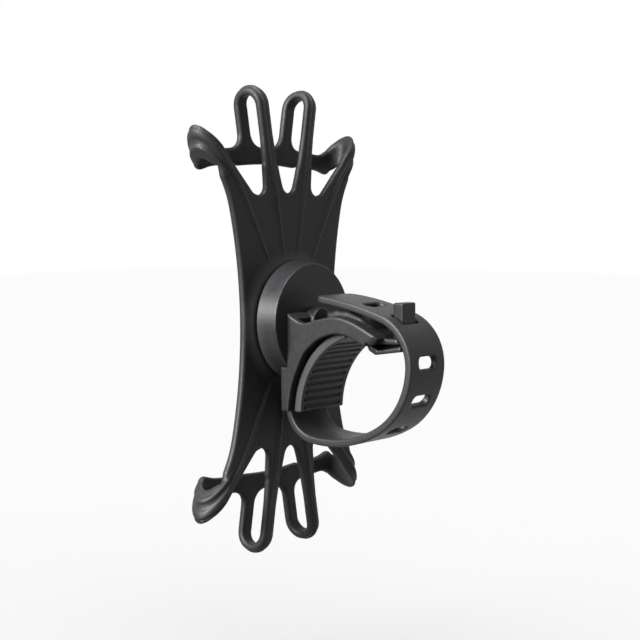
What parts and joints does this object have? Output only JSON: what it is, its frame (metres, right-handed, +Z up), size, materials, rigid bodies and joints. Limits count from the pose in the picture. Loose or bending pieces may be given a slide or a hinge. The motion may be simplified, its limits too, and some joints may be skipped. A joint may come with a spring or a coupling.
{
  "type": "phone mount",
  "caption": "Silicone phone cradle with four stretchy corner hooks on a swivelling hub, held to a round handlebar by a slotted strap and a ribbed saddle.",
  "frame": {"origin": "centre of the handlebar that the clamp holds, midway along the clamp", "axes": "+X along the handlebar, -Y towards the phone, +Z up"},
  "size_m": [0.075, 0.0631, 0.146],
  "materials": {
    "cradle_silicone": "matte silicone",
    "disc_plastic": "satin moulded",
    "cap_plastic": "fine matte texture",
    "clamp_plastic": "fine matte texture",
    "strap_silicone": "matte silicone",
    "pad_rubber": "matte ribbed",
    "peg_plastic": "satin",
    "steel": "zinc plated",
    "brass": "turned"
  },
  "bodies": {
    "clamp": {"clamp_base": "clamp_plastic", "saddle_pad": "pad_rubber", "strap_lower": "strap_silicone", "strap_pin": "steel", "strap_peg": "peg_plastic", "pivot_screw": "steel", "retaining_washer": "steel", "disc_spring": "steel", "click_plate": "steel", "threaded_insert": "brass"},
    "strap_end": {"strap_upper": "strap_silicone"},
    "cradle": {"silicone_panel": "cradle_silicone", "hub_disc": "disc_plastic", "center_cap": "cap_plastic"},
    "top_hooks": {"upper_web": "cradle_silicone"},
    "bottom_hooks": {"lower_web": "cradle_silicone"}
  },
  "joints": [
    {"name": "swivel", "type": "hinge", "parent": "clamp", "child": "cradle", "pos_m": [0, -0.0316, 0.0184], "axis": [0, 1, 0], "continuous": true},
    {"name": "strap_release", "type": "slide", "parent": "clamp", "child": "strap_end", "axis": [0, 0, 1], "range_m": [0, 0.008], "stiffness_N_per_m": 400},
    {"name": "top_stretch", "type": "slide", "parent": "cradle", "child": "top_hooks", "axis": [0, 0, 1], "range_m": [0, 0.015], "stiffness_N_per_m": 250},
    {"name": "bottom_stretch", "type": "slide", "parent": "cradle", "child": "bottom_hooks", "axis": [0, 0, -1], "range_m": [0, 0.015], "stiffness_N_per_m": 250}
  ]
}
